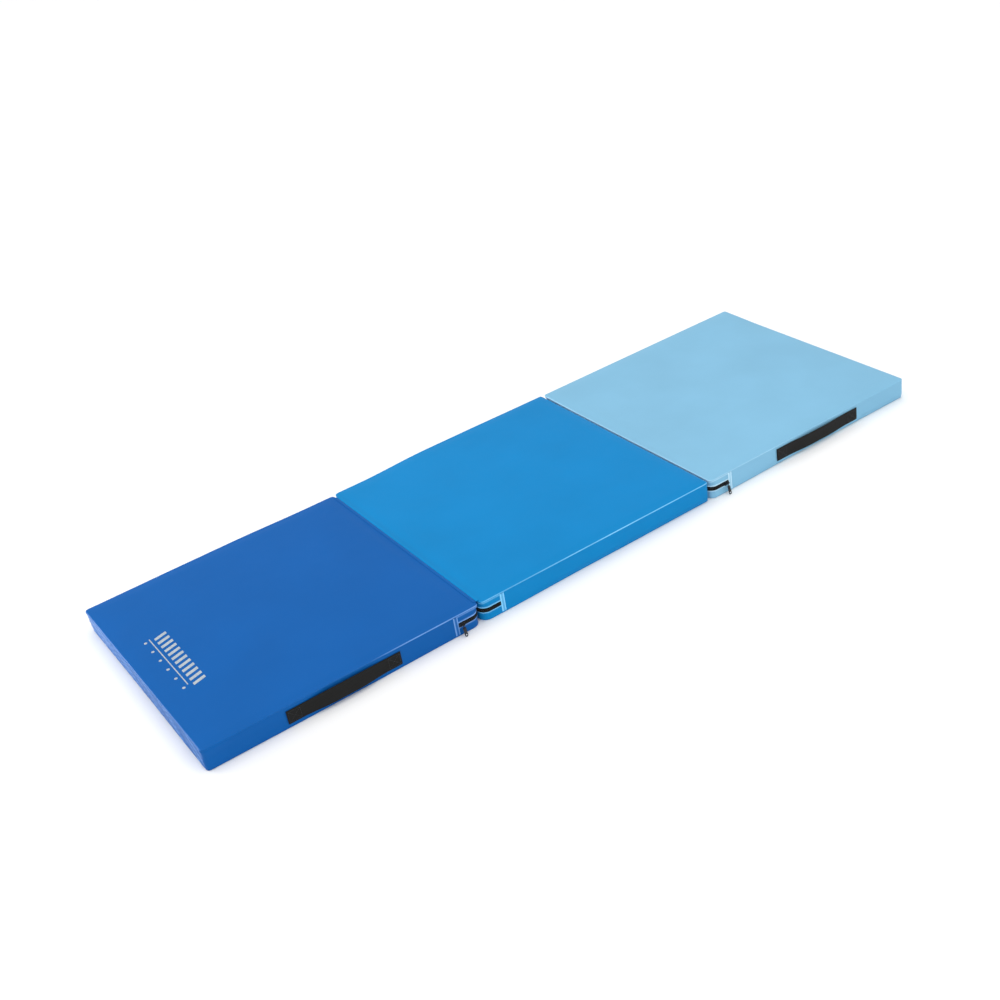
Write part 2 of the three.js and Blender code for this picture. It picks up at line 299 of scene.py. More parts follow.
def foam_block(name):
    """A closed block with its upright corners rounded, in the panel's own frame"""
    bpy.ops.object.select_all(action="DESELECT")
    size = 2 * (HALF - FOAM_INSET), 2 * (HALF - FOAM_INSET), THICK - 2 * FOAM_INSET
    bpy.ops.mesh.primitive_cube_add(size=1, location=(0, 0, THICK / 2), scale=size)
    block = bpy.context.object
    block.name = name
    bpy.ops.object.transform_apply(location=True, rotation=False, scale=True)
    for x_sign, radius in ((1, ZIP_R), (-1, END_R)):
        bpy.ops.object.mode_set(mode="EDIT")
        bpy.ops.mesh.select_all(action="DESELECT")
        bpy.ops.object.mode_set(mode="OBJECT")
        for edge in block.data.edges:
            a, b = (block.data.vertices[i].co for i in edge.vertices)
            edge.select = abs(a.z - b.z) > THICK / 2 and a.x * x_sign > HALF / 2
        bpy.ops.object.mode_set(mode="EDIT")
        bpy.ops.mesh.bevel(offset=radius - FOAM_INSET, segments=5)
        bpy.ops.object.mode_set(mode="OBJECT")
    remesh = block.modifiers.new("even_mesh", "REMESH")
    remesh.mode = "VOXEL"
    remesh.voxel_size = FOAM_VOXEL
    apply_all(block)
    return block


def fill(block):
    """How far the filled cover stands out at each of the block's points, from 0 to 1"""
    rest = coordinates(block)
    normals = np.empty(len(rest) * 3)
    block.data.vertices.foreach_get("normal", normals)
    normals = normals.reshape(-1, 3)
    cloth = block.modifiers.new("filling", "CLOTH")
    cloth.settings.use_pressure = True
    cloth.settings.uniform_pressure_force = FILL_PRESSURE
    cloth.settings.effector_weights.gravity = 0
    cloth.point_cache.frame_end = FILL_FRAMES
    for step in range(1, FILL_FRAMES + 1):
        bpy.context.scene.frame_set(step)
    filled = block.evaluated_get(bpy.context.evaluated_depsgraph_get())
    moved = np.empty(len(rest) * 3)
    filled.data.vertices.foreach_get("co", moved)
    block.modifiers.remove(cloth)
    bpy.context.scene.frame_set(1)
    out = np.sum((moved.reshape(-1, 3) - rest) * normals, axis=1)
    return rest, 1 - np.exp(-np.maximum(out, -FILL_SCALE / 2) / FILL_SCALE)


master_foam = foam_block("foam_master")
filled_at, filled_out = fill(master_foam)
filled_tree = KDTree(len(filled_at))
for index, point in enumerate(filled_at):
    filled_tree.insert(point, index)
filled_tree.balance()
TOP_CROWN = 0.9 * MM
WALL_CROWN = 1.1 * MM
ZIP_WALL_CROWN = 0.5 * MM
NEAREST = 5


def fullness(points):
    """The filled cover's share of its full swelling at each point"""
    out = np.empty(len(points))
    for i, point in enumerate(points):
        found = filled_tree.find_n(Vector(point), NEAREST)
        weights = [1 / (distance + MM) for _, _, distance in found]
        out[i] = sum(w * filled_out[k] for w, (_, k, _) in zip(weights, found)) / sum(weights)
    return out


# Where each cover has gone out of true: (soft edge radius at the far end and at the zip's end, and how
# far the foot of the far wall leans in at its front and back corners)
SHAPE = {
    "left": (4 * MM, 1 * MM, (0, 2 * MM)),
    "middle": (4.5 * MM, 1 * MM, (0, 0)),
    "right": (4 * MM, 4 * MM, (0, 0)),
}
LEAN_REACH = 120 * MM

# And where it is fuller: (out and up at the top of the back wall, out at the far end, and how far the
# foot of the front wall is tucked in)
FULLER = {
    "left": (7 * MM, 0, 7 * MM, -2 * MM),
    "middle": (17 * MM, 0, 1 * MM, 2.5 * MM),
    "right": (12 * MM, 2 * MM, 5 * MM, 2.5 * MM),
}
FULLER_REACH = 130 * MM
TUCK_REACH, TUCK_HEIGHT = 40 * MM, 14 * MM
FULLER_FROM, FULLER_TO = 236 * MM, 40 * MM  # none by the zip, all of it further along
ABOVE_ZIP = {"left": 0.3, "middle": 0.35, "right": 0.95}  # but some of it in the top edge there
FLAPS_END, TOP_EDGE = 33 * MM, 47 * MM  # heights between which it sets in

# Slight waves in the walls, with slanting creases in the left end's wall
CREASE = 6  # in ripples
CREASE_WIDTH, CREASE_LENGTH, CREASE_SLANT = 16 * MM, 60 * MM, -2.2
CREASE_REACH = 110 * MM
RIPPLE = 0.35 * MM
RIPPLE_LENGTH = 70 * MM
RIPPLE_REACH, RIPPLE_FADE = 12 * MM, 8 * MM


def settle(panel, co):
    """Softens the cover's edges, fills and leans its walls, and ripples them"""
    far_r, zip_r, (lean_front, lean_back) = SHAPE[panel]
    x, y, z = co.T.copy()
    radius = far_r + (zip_r - far_r) * ease((x + HALF) / (1.3 * HALF))
    inside = np.minimum(HALF - np.abs(x), HALF - np.abs(y))
    for top in (True, False):
        depth = TOP_Z - z if top else z
        a, b = np.maximum(radius - depth, 0), np.maximum(radius - inside, 0)
        over = np.maximum(np.hypot(a, b) - radius, 0) * (a > 0) * (b > 0)
        pull = over / np.maximum(np.hypot(a, b), 1e-9)
        z += (-1 if top else 1) * a * pull
        along_x = HALF - np.abs(x) < HALF - np.abs(y)
        x -= np.sign(x) * b * pull * along_x
        y -= np.sign(y) * b * pull * ~along_x
    sign = PANELS[panel]["sign"]
    back_out, back_up, end_out, tuck = FULLER[panel]
    along = ease((FULLER_FROM - x) / (FULLER_FROM - FULLER_TO))
    above = ABOVE_ZIP[panel] * ease((z - FLAPS_END) / (TOP_EDGE - FLAPS_END))
    at_back = ease(1 - (HALF - sign * y) / FULLER_REACH) * (along * z / THICK + (1 - along) * above)
    at_front = ease(1 - (HALF + sign * y) / TUCK_REACH) * along * ease(1 - z / TUCK_HEIGHT)
    y += sign * (back_out * at_back + tuck * at_front)
    z += back_up * at_back
    x -= end_out * ease((-x - HALF + LEAN_REACH) / LEAN_REACH)
    front = sign * y
    lean = lean_front + (lean_back - lean_front) * ease((front + HALF) / (1.2 * HALF))
    x += lean * (1 - z / THICK) * ease((-x - HALF + LEAN_REACH) / LEAN_REACH)
    from_wall = HALF - np.maximum(np.abs(x), np.abs(y))
    wall_zone = ease(1 - from_wall / RIPPLE_REACH) * (x < HALF - ZIP_R)
    seed = PANELS[panel]["seed"]
    wave = np.array([
        noise.noise(Vector((p[0] / RIPPLE_LENGTH + seed, p[1] / RIPPLE_LENGTH, 3 * p[2] / RIPPLE_LENGTH)))
        for p in co
    ])
    if panel == "left":
        creased = np.array([
            noise.noise(Vector(((p[1] + CREASE_SLANT * p[2]) / CREASE_WIDTH, p[2] / CREASE_LENGTH, seed)))
            for p in co
        ])
        near_end = ease(1 - (HALF + x) / CREASE_REACH)
        wave = wave + CREASE * np.clip(creased, -0.2, 1) * near_end
    mid = ease(np.minimum(z, THICK - z) / RIPPLE_FADE)
    away_x = np.abs(x) > np.abs(y)
    x += np.sign(x) * wave * RIPPLE * wall_zone * mid * away_x
    y += np.sign(y) * wave * RIPPLE * wall_zone * mid * ~away_x
    return np.column_stack([x, y, z])


def foam_material():
    """Open-cell polyurethane foam: pale cream, matt, with fine pits, darker towards each pit's bottom as
    painted shade
    """
    material, shader = new_material("open_cell_polyurethane_foam")
    where = add_node(material, "ShaderNodeTexCoord")
    cells = add_node(
        material, "ShaderNodeTexVoronoi", [("Vector", where.outputs["Object"]), ("Scale", 1 / (2 * MM))]
    )
    tone = add_node(material, "ShaderNodeValToRGB", [("Fac", cells.outputs["Distance"])])
    tone.color_ramp.elements[0].color = to_linear("#B9B29A")
    tone.color_ramp.elements[1].color = to_linear("#EDE7D3")
    pits = add_node(
        material, "ShaderNodeBump",
        [("Height", cells.outputs["Distance"]), ("Strength", 0.5), ("Distance", 0.6 * MM)],
    )
    material.node_tree.links.new(tone.outputs["Color"], shader.inputs["Base Color"])
    material.node_tree.links.new(pits.outputs["Normal"], shader.inputs["Normal"])
    shader.inputs["Roughness"].default_value = 0.95
    return material


FOAM = foam_material()
for panel, facts in PANELS.items():
    foam = bpy.data.objects.new(f"{panel}_foam", master_foam.data.copy())
    bpy.context.scene.collection.objects.link(foam)
    inner = coordinates(foam)
    centre = np.array([0, 0, THICK / 2])
    reach = np.array([HALF, HALF, THICK / 2])
    inner = centre + (inner - centre) * (1 - FOAM_SHORT / reach)
    put(foam, to_frame(panel, settle(panel, inner)))
    give(foam, FOAM)
    smooth(foam, 60)
    fasten(foam, facts["body"], "foam", f"{panel}_foam_core")
bpy.data.objects.remove(master_foam)


# ---------------------------------------------------------------------------------------------
# Top and bottom sheets. Vinyl-coated polyester cut square with rounded corners, whose edges roll
# over the foam's edge and are sewn to the side band.
# Each panel's vinyl colour, then the paler colour that is painted on as a highlight
COLOURS = {
    "left": ("#0C5AA4", "#86B4F2"),
    "middle": ("#0680BF", "#8AD6FF"),
    "right": ("#7FB5D3", "#C4E8FA"),
}
FINE_RINGS = 9  # rings of faces over the rolled edge
FLAT_CELL = 8.5 * MM
CELL_GROWTH = 1.15  # the cells grow towards the middle
CROWN_FROM_EDGE = 25 * MM


def vinyl_material(name, colours, seed):
    """PVC-coated polyester: calendered smooth, with a faint leather grain, slightly uneven in tone.
    The grain is a 1.6 mm cell, and the coating's soft waves are about 90 mm long. A vertex attribute
    mixes in the paler colour as a painted highlight along rolled edges, folded lips and tabs, and
    lowers the roughness there."""
    material, shader = new_material(name)
    base = to_linear(colours[0])
    where = add_node(material, "ShaderNodeTexCoord")
    shift = add_node(
        material, "ShaderNodeMapping", [("Vector", where.outputs["Object"]), ("Location", (seed, seed, 0))]
    )
    cloudy = add_node(
        material, "ShaderNodeTexNoise",
        [("Vector", shift.outputs["Vector"]), ("Scale", 1 / (160 * MM)), ("Detail", 3)],
    )
    tone = add_node(material, "ShaderNodeValToRGB", [("Fac", cloudy.outputs["Fac"])])
    tone.color_ramp.elements[0].position = 0.3
    tone.color_ramp.elements[0].color = [c * 0.965 for c in base[:3]] + [1]
    tone.color_ramp.elements[1].position = 0.7
    tone.color_ramp.elements[1].color = [min(1, c * 1.035) for c in base[:3]] + [1]
    grain = add_node(
        material, "ShaderNodeTexVoronoi",
        [("Vector", shift.outputs["Vector"]), ("Scale", 1 / (1.6 * MM))], feature="SMOOTH_F1",
    )
    grain_bump = add_node(
        material, "ShaderNodeBump",
        [("Height", grain.outputs["Distance"]), ("Strength", 0.12), ("Distance", 0.12 * MM)],
    )
    waves = add_node(
        material, "ShaderNodeTexNoise",
        [("Vector", shift.outputs["Vector"]), ("Scale", 1 / (90 * MM)), ("Detail", 2)],
    )
    wave_bump = add_node(
        material, "ShaderNodeBump",
        [("Height", waves.outputs["Fac"]), ("Strength", 0.25), ("Distance", 2.5 * MM),
         ("Normal", grain_bump.outputs["Normal"])],
    )
    # Painted highlight: the paler colour mixed in by the vertex attribute, with a lower roughness
    painted_highlight = add_node(material, "ShaderNodeAttribute", attribute_name="painted_highlight")
    paler = add_node(
        material, "ShaderNodeMix", [(0, painted_highlight.outputs["Fac"]), (6, tone.outputs["Color"]),
                                    (7, to_linear(colours[1]))], data_type="RGBA",
    )
    gloss = add_node(
        material, "ShaderNodeMapRange",
        [("Value", waves.outputs["Fac"]), ("From Min", 0.3), ("From Max", 0.7), ("To Min", 0.32),
         ("To Max", 0.4)],
    )
    shinier = add_node(
        material, "ShaderNodeMath", [(0, painted_highlight.outputs["Fac"]), (1, -0.1), (2, gloss.outputs["Result"])],
        operation="MULTIPLY_ADD",
    )
    material.node_tree.links.new(paler.outputs[2], shader.inputs["Base Color"])
    material.node_tree.links.new(shinier.outputs[0], shader.inputs["Roughness"])
    material.node_tree.links.new(wave_bump.outputs["Normal"], shader.inputs["Normal"])
    shader.inputs["IOR"].default_value = 1.5
    shader.inputs["Specular IOR Level"].default_value = 0.08
    return material


VINYLS = {
    "left": vinyl_material("vinyl_coated_polyester_dark_blue", COLOURS["left"], 0.3),
    "middle": vinyl_material("vinyl_coated_polyester_mid_blue", COLOURS["middle"], 1.7),
    "right": vinyl_material("vinyl_coated_polyester_light_blue", COLOURS["right"], 2.9),
}


def mark_highlights(piece, highlights):
    """Sets how much highlight is painted on at each vertex, from 0 to 1"""
    attribute = piece.data.attributes.new("painted_highlight", "FLOAT", "POINT")
    attribute.data.foreach_set("value", np.clip(highlights, 0, 1).astype(np.float32))


def unit_grid(name, columns, rows):
    """A new flat grid, and each vertex's place across it from 0 to 1"""
    bpy.ops.object.select_all(action="DESELECT")
    bpy.ops.mesh.primitive_grid_add(x_subdivisions=columns, y_subdivisions=rows, size=1)
    piece = bpy.context.object
    piece.name = name
    flat = coordinates(piece)
    return piece, flat[:, 0] + 0.5, flat[:, 1] + 0.5


def rolled_square(name, panel, top):
    """A sheet's outer face: flat, with rounded corners and an edge that rolls over to the seam"""
    fine = [ROLL_LENGTH * i / FINE_RINGS for i in range(FINE_RINGS)]
    flat_half = HALF - ROLL_DEPTH
    steps = round(flat_half / FLAT_CELL)
    growing = [ROLL_LENGTH + flat_half * (i / steps) ** CELL_GROWTH for i in range(steps + 1)]
    depths = np.array(fine + growing)
    count = 2 * (len(depths) - 1)
    piece, u, v = unit_grid(name, count, count)
    i, j = np.rint(u * count).astype(int), np.rint(v * count).astype(int)
    ex, ey = depths[np.minimum(i, count - i)], depths[np.minimum(j, count - j)]
    sx, sy = np.sign(i - count / 2), np.sign(j - count / 2)

    def out(e):
        angle = ROLL_BACK + np.minimum(e, ROLL_LENGTH) / ROLL_R
        return ROLL_R * np.cos(angle) - ROLL_DEPTH - np.maximum(e - ROLL_LENGTH, 0)

    ring = np.minimum(ex, ey)
    half = HALF + out(ring)
    corner = np.where(sx > 0, TOP_R if top else ZIP_R, END_R)
    radius = np.maximum(corner + out(ring), 1e-6)
    by_x = ex <= ey
    along = np.where(by_x, HALF + out(ey), HALF + out(ex))
    turn = np.clip((along - (half - radius)) / radius, 0, 1) * pi / 4
    in_corner = turn > 0
    far = np.where(in_corner, half - radius + radius * np.cos(turn), half)
    near = np.where(in_corner, half - radius + radius * np.sin(turn), along)
    x = sx * np.where(by_x, far, near)
    y = sy * np.where(by_x, near, far)
    angle = ROLL_BACK + np.minimum(ring, ROLL_LENGTH) / ROLL_R
    drop = ROLL_R * (1 - np.sin(angle))
    co = np.column_stack([x, y, TOP_Z - drop if top else drop])
    if top:
        crown = fullness(co) * ease(ring / CROWN_FROM_EDGE)
        co[:, 2] += TOP_CROWN * np.clip(crown, -0.3, 1)
        # paints the highlight over the rolled top edge
        mark_highlights(piece, edge_highlights(panel, x, y, np.degrees(angle)))
    put(piece, to_frame(panel, settle(panel, co)))
    if not top:
        piece.data.flip_normals()
    return piece


# The painted highlight over the top edge's roll along each side: (at the far end, half-way, at the zip's
# end), and then across the zip's end and across the far end
EDGE_HIGHLIGHT = {
    "left": {"front": (0, 0.05, 0.75), "back": (0, 0.2, 0.4), "zip": 0.0, "far": 0.1},
    "middle": {"front": (0.9, 0.85, 0.6), "back": (0.4, 0.4, 0.3), "zip": 0.0, "far": 0.1},
    "right": {"front": (0.05, 0.1, 0.3), "back": (0.1, 0.2, 0.3), "zip": 0.6, "far": 0.2},
}
EDGE_HIGHLIGHT_ANGLE, EDGE_HIGHLIGHT_SPREAD = 28, 30  # degrees up the rolled edge


def edge_highlights(panel, x, y, angle):
    """The highlight painted over the rolled edge"""
    across = np.exp(-((angle - EDGE_HIGHLIGHT_ANGLE) / EDGE_HIGHLIGHT_SPREAD) ** 2) * (angle < 89)
    pale = EDGE_HIGHLIGHT[panel]
    along = np.clip((x + HALF) / (2 * HALF), 0, 1)
    front = np.interp(along, (0.1, 0.58, 0.72), pale["front"])
    back = np.interp(along, (0.1, 0.5, 0.9), pale["back"])
    side = np.where(PANELS[panel]["sign"] * y < 0, front, back)
    end = np.where(x > 0, pale["zip"], pale["far"])
    at_end = ease((np.abs(x) - np.abs(y)) / (8 * MM) + 0.5)
    # the painted highlight's strength varies at random along the edge
    patchy = np.array([noise.noise(Vector((a / 0.05, b / 0.05, 0.5))) for a, b in zip(x, y)])
    return across * (side + (end - side) * at_end) * (1 + 0.35 * patchy)


def thicken(piece, thickness=VINYL):
    """Gives an outer face its thickness, inwards"""
    shell = piece.modifiers.new("thickness", "SOLIDIFY")
    shell.thickness = thickness
    shell.offset = -1
    apply_all(piece)


for panel, facts in PANELS.items():
    for face, top in (("top", True), ("bottom", False)):
        sheet = rolled_square(f"{panel}_{face}_cover", panel, top)
        thicken(sheet)
        give(sheet, VINYLS[panel])
        smooth(sheet)
        fasten(sheet, facts["body"], facts["slot"], f"{panel}_{face}_sheet")


# ---------------------------------------------------------------------------------------------
# Walls. A band of the same vinyl goes round the three plain sides. At the zip's end it is split in
# an upper and a lower flap with folded lips, and a tab covers each end of the zip.
ZIP_Z = 25 * MM
OPENING = 10 * MM
SLIDER_END = 248 * MM
FAR_END = 254 * MM
END_TAB = 10 * MM
TAB_PROUD = 0.9 * MM
LIP = 0.8 * MM  # how far the folded lips stand out
LIP_WIDTH = 1.5 * MM
HIGHLIGHT_LINE = 0.9 * MM  # the painted highlight line along a folded lip, from the free edge
SEAM_FADE = 0.8 * MM
WALL_CELL = 7 * MM

WALL_SWELL_FADE = 9 * MM
TAB_EDGE = 0.5 * MM
# the width of the painted highlight lines along a tab's edges
TAB_LINE = 1.2 * MM
TAB_HIGHLIGHT = {"left": 0.05, "middle": 0.4, "right": 0.35}  # painted highlight all over, apart from the brighter painted lines at its edges
SLIDER_SIDE = {"left": -1, "middle": -1, "right": 1}  # in the panel's own frame


def zip_end(panel, side):
    """Where the zip's teeth end on that side"""
    return SLIDER_END if side == SLIDER_SIDE[panel] else FAR_END


def graded(start, stop, cell, fine):
    """Places from start to stop, close together over the first and last few millimetres"""
    middle = max(2, round((stop - start - 2 * fine[-1]) / cell))
    inner = np.linspace(start + fine[-1], stop - fine[-1], middle + 1)
    return np.concatenate([[start + f for f in fine[:-1]], inner, [stop - f for f in fine[-2::-1]]])


def wall_sheet(name, panel, s_places, z_places, outwards, highlights=None):
    """A strip laid on the panel's wall. outwards(s, z) is how far it stands out, and the last argument,
    if given, how much highlight is painted on its coating at (s, z)."""
    piece, u, v = unit_grid(name, len(s_places) - 1, len(z_places) - 1)
    s = s_places[np.rint(u * (len(s_places) - 1)).astype(int)]
    z = z_places[np.rint(v * (len(z_places) - 1)).astype(int)]
    w = outwards(s, z)
    x, y, nx, ny = wall(s, w, z)
    crown = np.where(np.abs(s) < TURN_2, ZIP_WALL_CROWN, WALL_CROWN)
    swell = crown * np.clip(fullness(np.column_stack([x, y, z])), -0.2, 1)
    swell = swell * ease(np.minimum(z - SEAM_Z, TOP_Z - SEAM_Z - z) / WALL_SWELL_FADE)
    co = np.column_stack([x + nx * swell, y + ny * swell, z])
    put(piece, to_frame(panel, settle(panel, co)))
    if highlights:
        mark_highlights(piece, highlights(s, z))
    return piece


def seam_dip(z):
    """The wall's inward dip at the seams with the top and bottom sheets"""
    from_seam = np.minimum(z - SEAM_Z, TOP_Z - SEAM_Z - z)
    return WALL_W + (SEAM_W - WALL_W) * np.exp(-np.maximum(from_seam, 0) / SEAM_FADE)


def lip(distance):
    """A folded lip: a low round ridge at the flap's free edge"""
    return LIP * np.exp(-((distance - LIP_WIDTH / 2) / LIP_WIDTH) ** 2)


def lip_highlight(distance):
    """The painted highlight line along a folded lip, at a distance from its free edge"""
    return np.exp(-((distance - HIGHLIGHT_LINE) / LIP_WIDTH) ** 2)


def end_crease_highlights(s, z):
    """Painted highlights in slanting lines along the creases of the dark blue panel's end wall"""
    y = np.sign(s) * (HALF - END_R - (np.abs(s) - TURN_4))
    lines = np.array([
        noise.noise(Vector(((b + CREASE_SLANT * c) / CREASE_WIDTH, c / CREASE_LENGTH, 3)))
        for b, c in zip(y, z)
    ])
    return (np.abs(s) > TURN_4) * np.clip(0.08 + 0.9 * lines, 0, 0.5)


FINE_Z = [0, 0.4 * MM, 0.9 * MM, 1.6 * MM, 2.6 * MM, 4.2 * MM]
FINE_LIP = [0, 0.5 * MM, 1.1 * MM, 1.8 * MM, 2.8 * MM, 4.4 * MM]
WALL_TOP = TOP_Z - SEAM_Z
BAND_CUT = 50 * MM
TURNED_IN = 3 * MM  # at a flap's seam, past the lip
for panel, facts in PANELS.items():
    front_end, back_end = zip_end(panel, -1), zip_end(panel, 1)
    whole = graded(SEAM_Z, WALL_TOP, 6 * MM, FINE_Z)

    # round the far end the places run on past HALF_ROUND, and are brought back to -HALF_ROUND
    start = wall_at(back_end - END_TAB, 1)
    stop = 2 * HALF_ROUND + wall_at(front_end - END_TAB, -1)
    places = np.linspace(start, stop, round((stop - start) / WALL_CELL) + 1)
    for arc_start in (TURN_3, 2 * HALF_ROUND - TURN_4):
        places = np.sort(np.append(places, arc_start + END_ARC * np.arange(1, 8) / 8))
    places = np.where(places > HALF_ROUND, places - 2 * HALF_ROUND, places)
    # the left panel's end wall gets painted highlights along its creases
    crease_highlights = end_crease_highlights if panel == "left" else None
    band = wall_sheet(f"{panel}_side_wall", panel, places, whole, lambda s, z: seam_dip(z), crease_highlights)
    pieces = [(band, f"{panel}_side_band", (stop - start, BAND_CUT))]

    s_front, s_back = wall_at(front_end, -1), wall_at(back_end, 1)
    places = np.linspace(s_front, s_back, round((s_back - s_front) / (WALL_CELL / 1.6)) + 1)
    upper_z = ZIP_Z + OPENING / 2
    lower_z = ZIP_Z - OPENING / 2
    upper_rows = np.concatenate([upper_z + np.array(FINE_LIP), graded(
        upper_z + FINE_LIP[-1], WALL_TOP, 4 * MM, FINE_Z)[len(FINE_Z) - 1:]])
    lower_rows = np.concatenate([graded(
        SEAM_Z, lower_z - FINE_LIP[-1], 4 * MM, FINE_Z)[:1 - len(FINE_Z)],
        lower_z - np.array(FINE_LIP)[::-1]])
    # The flaps get a painted highlight along each lip, and the upper one a fainter painted highlight under
    # its top seam
    upper = wall_sheet(
        f"{panel}_upper_flap", panel, places, upper_rows,
        lambda s, z: seam_dip(z) + lip(z - upper_z),
        lambda s, z: 0.9 * lip_highlight(z - upper_z) + 0.45 * lip_highlight(WALL_TOP - z),
    )
    lower = wall_sheet(
        f"{panel}_lower_flap", panel, places, lower_rows,
        lambda s, z: seam_dip(z) + lip(lower_z - z),
        lambda s, z: 0.75 * lip_highlight(lower_z - z),
    )
    flap_length = s_back - s_front
    pieces.append((upper, f"{panel}_zip_flap_upper", (flap_length, WALL_TOP - upper_z + TURNED_IN)))
    pieces.append((lower, f"{panel}_zip_flap_lower", (flap_length, lower_z - SEAM_Z + TURNED_IN)))

    for place, side, end in (("front", -1, front_end), ("back", 1, back_end)):
        near, far = sorted((wall_at(end, side), wall_at(end - END_TAB, side)))
        places = graded(near, far, 2.2 * MM, [0, 0.4 * MM, 0.9 * MM, 1.6 * MM])

        def tab_profile(s, z, near=near, far=far):
            edge = np.minimum(s - near, far - s)
            return seam_dip(z) + TAB_PROUD * (1 - np.exp(-edge / TAB_EDGE))

        # The tab is painted lighter all over as a highlight, with painted highlight lines along its edges
        def tab_highlight(s, z, near=near, far=far, pale=TAB_HIGHLIGHT[panel]):
            edge = np.minimum(s - near, far - s)
            return 0.75 * np.exp(-((edge - HIGHLIGHT_LINE) / TAB_LINE) ** 2) + pale

        tab = wall_sheet(f"{panel}_{place}_end_tab", panel, places, whole, tab_profile, tab_highlight)
        pieces.append((tab, f"{panel}_zip_end_tab_{place}", (END_TAB + 1 * MM, BAND_CUT)))

    for piece, node, cut in pieces:
        thicken(piece)
        give(piece, VINYLS[panel])
        smooth(piece)
        fasten(piece, facts["body"], facts["slot"], node)


# ---------------------------------------------------------------------------------------------
# Zips. A coil zip: two woven polyester tapes, each with a spiral of nylon sewn along its edge,
# whose turns mesh. The tapes are sewn behind the flaps and run round the end wall.
TAPE_HEIGHT = 15 * MM
PARTING = 0.8 * MM
TAPE_W = -1.3 * MM
TOOTH_PITCH = 1.6 * MM
TOOTH_REACH = 3.1 * MM
TOOTH_WIRE = 0.45 * MM
TAPE_IN_TAB = 8 * MM


def woven_material(name, dark, light, thread, roughness):
    """A plain weave: two sets of threads at right angles, drawn from sines over the piece's UV map,
    which is in millimetres. Raised threads are painted lighter and the gaps between them darker: painted
    highlight and painted shade over the weave's relief."""
    material, shader = new_material(name)
    where = add_node(material, "ShaderNodeUVMap")
    split = add_node(material, "ShaderNodeSeparateXYZ", [("Vector", where.outputs["UV"])])
    turned = []
    for axis in ("X", "Y"):
        angle = add_node(
            material, "ShaderNodeMath", [(0, split.outputs[axis]), (1, pi / thread)], operation="MULTIPLY"
        )
        turned.append(add_node(material, "ShaderNodeMath", [(0, angle.outputs[0])], operation="SINE"))
    over = add_node(
        material, "ShaderNodeMath", [(0, turned[0].outputs[0]), (1, turned[1].outputs[0])],
        operation="MULTIPLY",
    )
    height = add_node(
        material, "ShaderNodeMapRange", [("Value", over.outputs[0]), ("From Min", -1.0), ("From Max", 1.0)]
    )
    tone = add_node(material, "ShaderNodeValToRGB", [("Fac", height.outputs["Result"])])
    tone.color_ramp.elements[0].color = to_linear(dark)
    tone.color_ramp.elements[1].color = to_linear(light)
    raised = add_node(
        material, "ShaderNodeBump",
        [("Height", height.outputs["Result"]), ("Strength", 0.7), ("Distance", 0.25 * MM)],
    )
    material.node_tree.links.new(tone.outputs["Color"], shader.inputs["Base Color"])
    material.node_tree.links.new(raised.outputs["Normal"], shader.inputs["Normal"])
    shader.inputs["Roughness"].default_value = roughness
    shader.inputs["Specular IOR Level"].default_value = 0.25
    return material


def map_uv(piece, u, v):
    """Sets the piece's UV map from two numbers a vertex, in millimetres of cloth"""
    layer = piece.data.uv_layers.active or piece.data.uv_layers.new(name="cloth")
    loops = np.empty(len(piece.data.loops), dtype=int)
    piece.data.loops.foreach_get("vertex_index", loops)
    layer.data.foreach_set("uv", np.column_stack([u[loops], v[loops]]).astype(np.float32).ravel())


def nylon_material():
    """Black nylon filament, drawn smooth: a narrow soft highlight along each turn"""
    material, shader = new_material("black_nylon_filament")
    where = add_node(material, "ShaderNodeTexCoord")
    mottle = add_node(
        material, "ShaderNodeTexNoise", [("Vector", where.outputs["Object"]), ("Scale", 1 / (0.8 * MM))]
    )
    tone = add_node(material, "ShaderNodeValToRGB", [("Fac", mottle.outputs["Fac"])])
    tone.color_ramp.elements[0].color = to_linear("#08090A")
    tone.color_ramp.elements[1].color = to_linear("#1B1C1F")
    material.node_tree.links.new(tone.outputs["Color"], shader.inputs["Base Color"])
    shader.inputs["Roughness"].default_value = 0.38
    return material


def repeat(name, unit, stations, bend):
    """One mesh holding a copy of the unit's mesh at each station. bend(points, station) places one."""
    points = coordinates(unit)
    faces = [tuple(face.vertices) for face in unit.data.polygons]
    vertices, polygons = [], []
    for station in stations:
        offset = len(vertices)
        vertices.extend(bend(points, station).tolist())
        polygons.extend(tuple(i + offset for i in face) for face in faces)
    mesh = bpy.data.meshes.new(name)
    mesh.from_pydata(vertices, [], polygons)
    mesh.update()
    piece = bpy.data.objects.new(name, mesh)
    bpy.context.scene.collection.objects.link(piece)
    for face in piece.data.polygons:
        face.use_smooth = True
    return piece


def coil_tooth():
    """One turn of the coil, seen along the tape: a flat loop of filament from the tape's edge"""
    bpy.ops.object.select_all(action="DESELECT")
    bpy.ops.mesh.primitive_torus_add(
        major_segments=12, minor_segments=5, major_radius=TOOTH_REACH / 2, minor_radius=TOOTH_WIRE
    )
    tooth = bpy.context.object
    tooth.scale = (0.5, 1, 1)
    tooth.rotation_euler = (0, pi / 2, 0.12)
    bpy.ops.object.transform_apply()
    return tooth


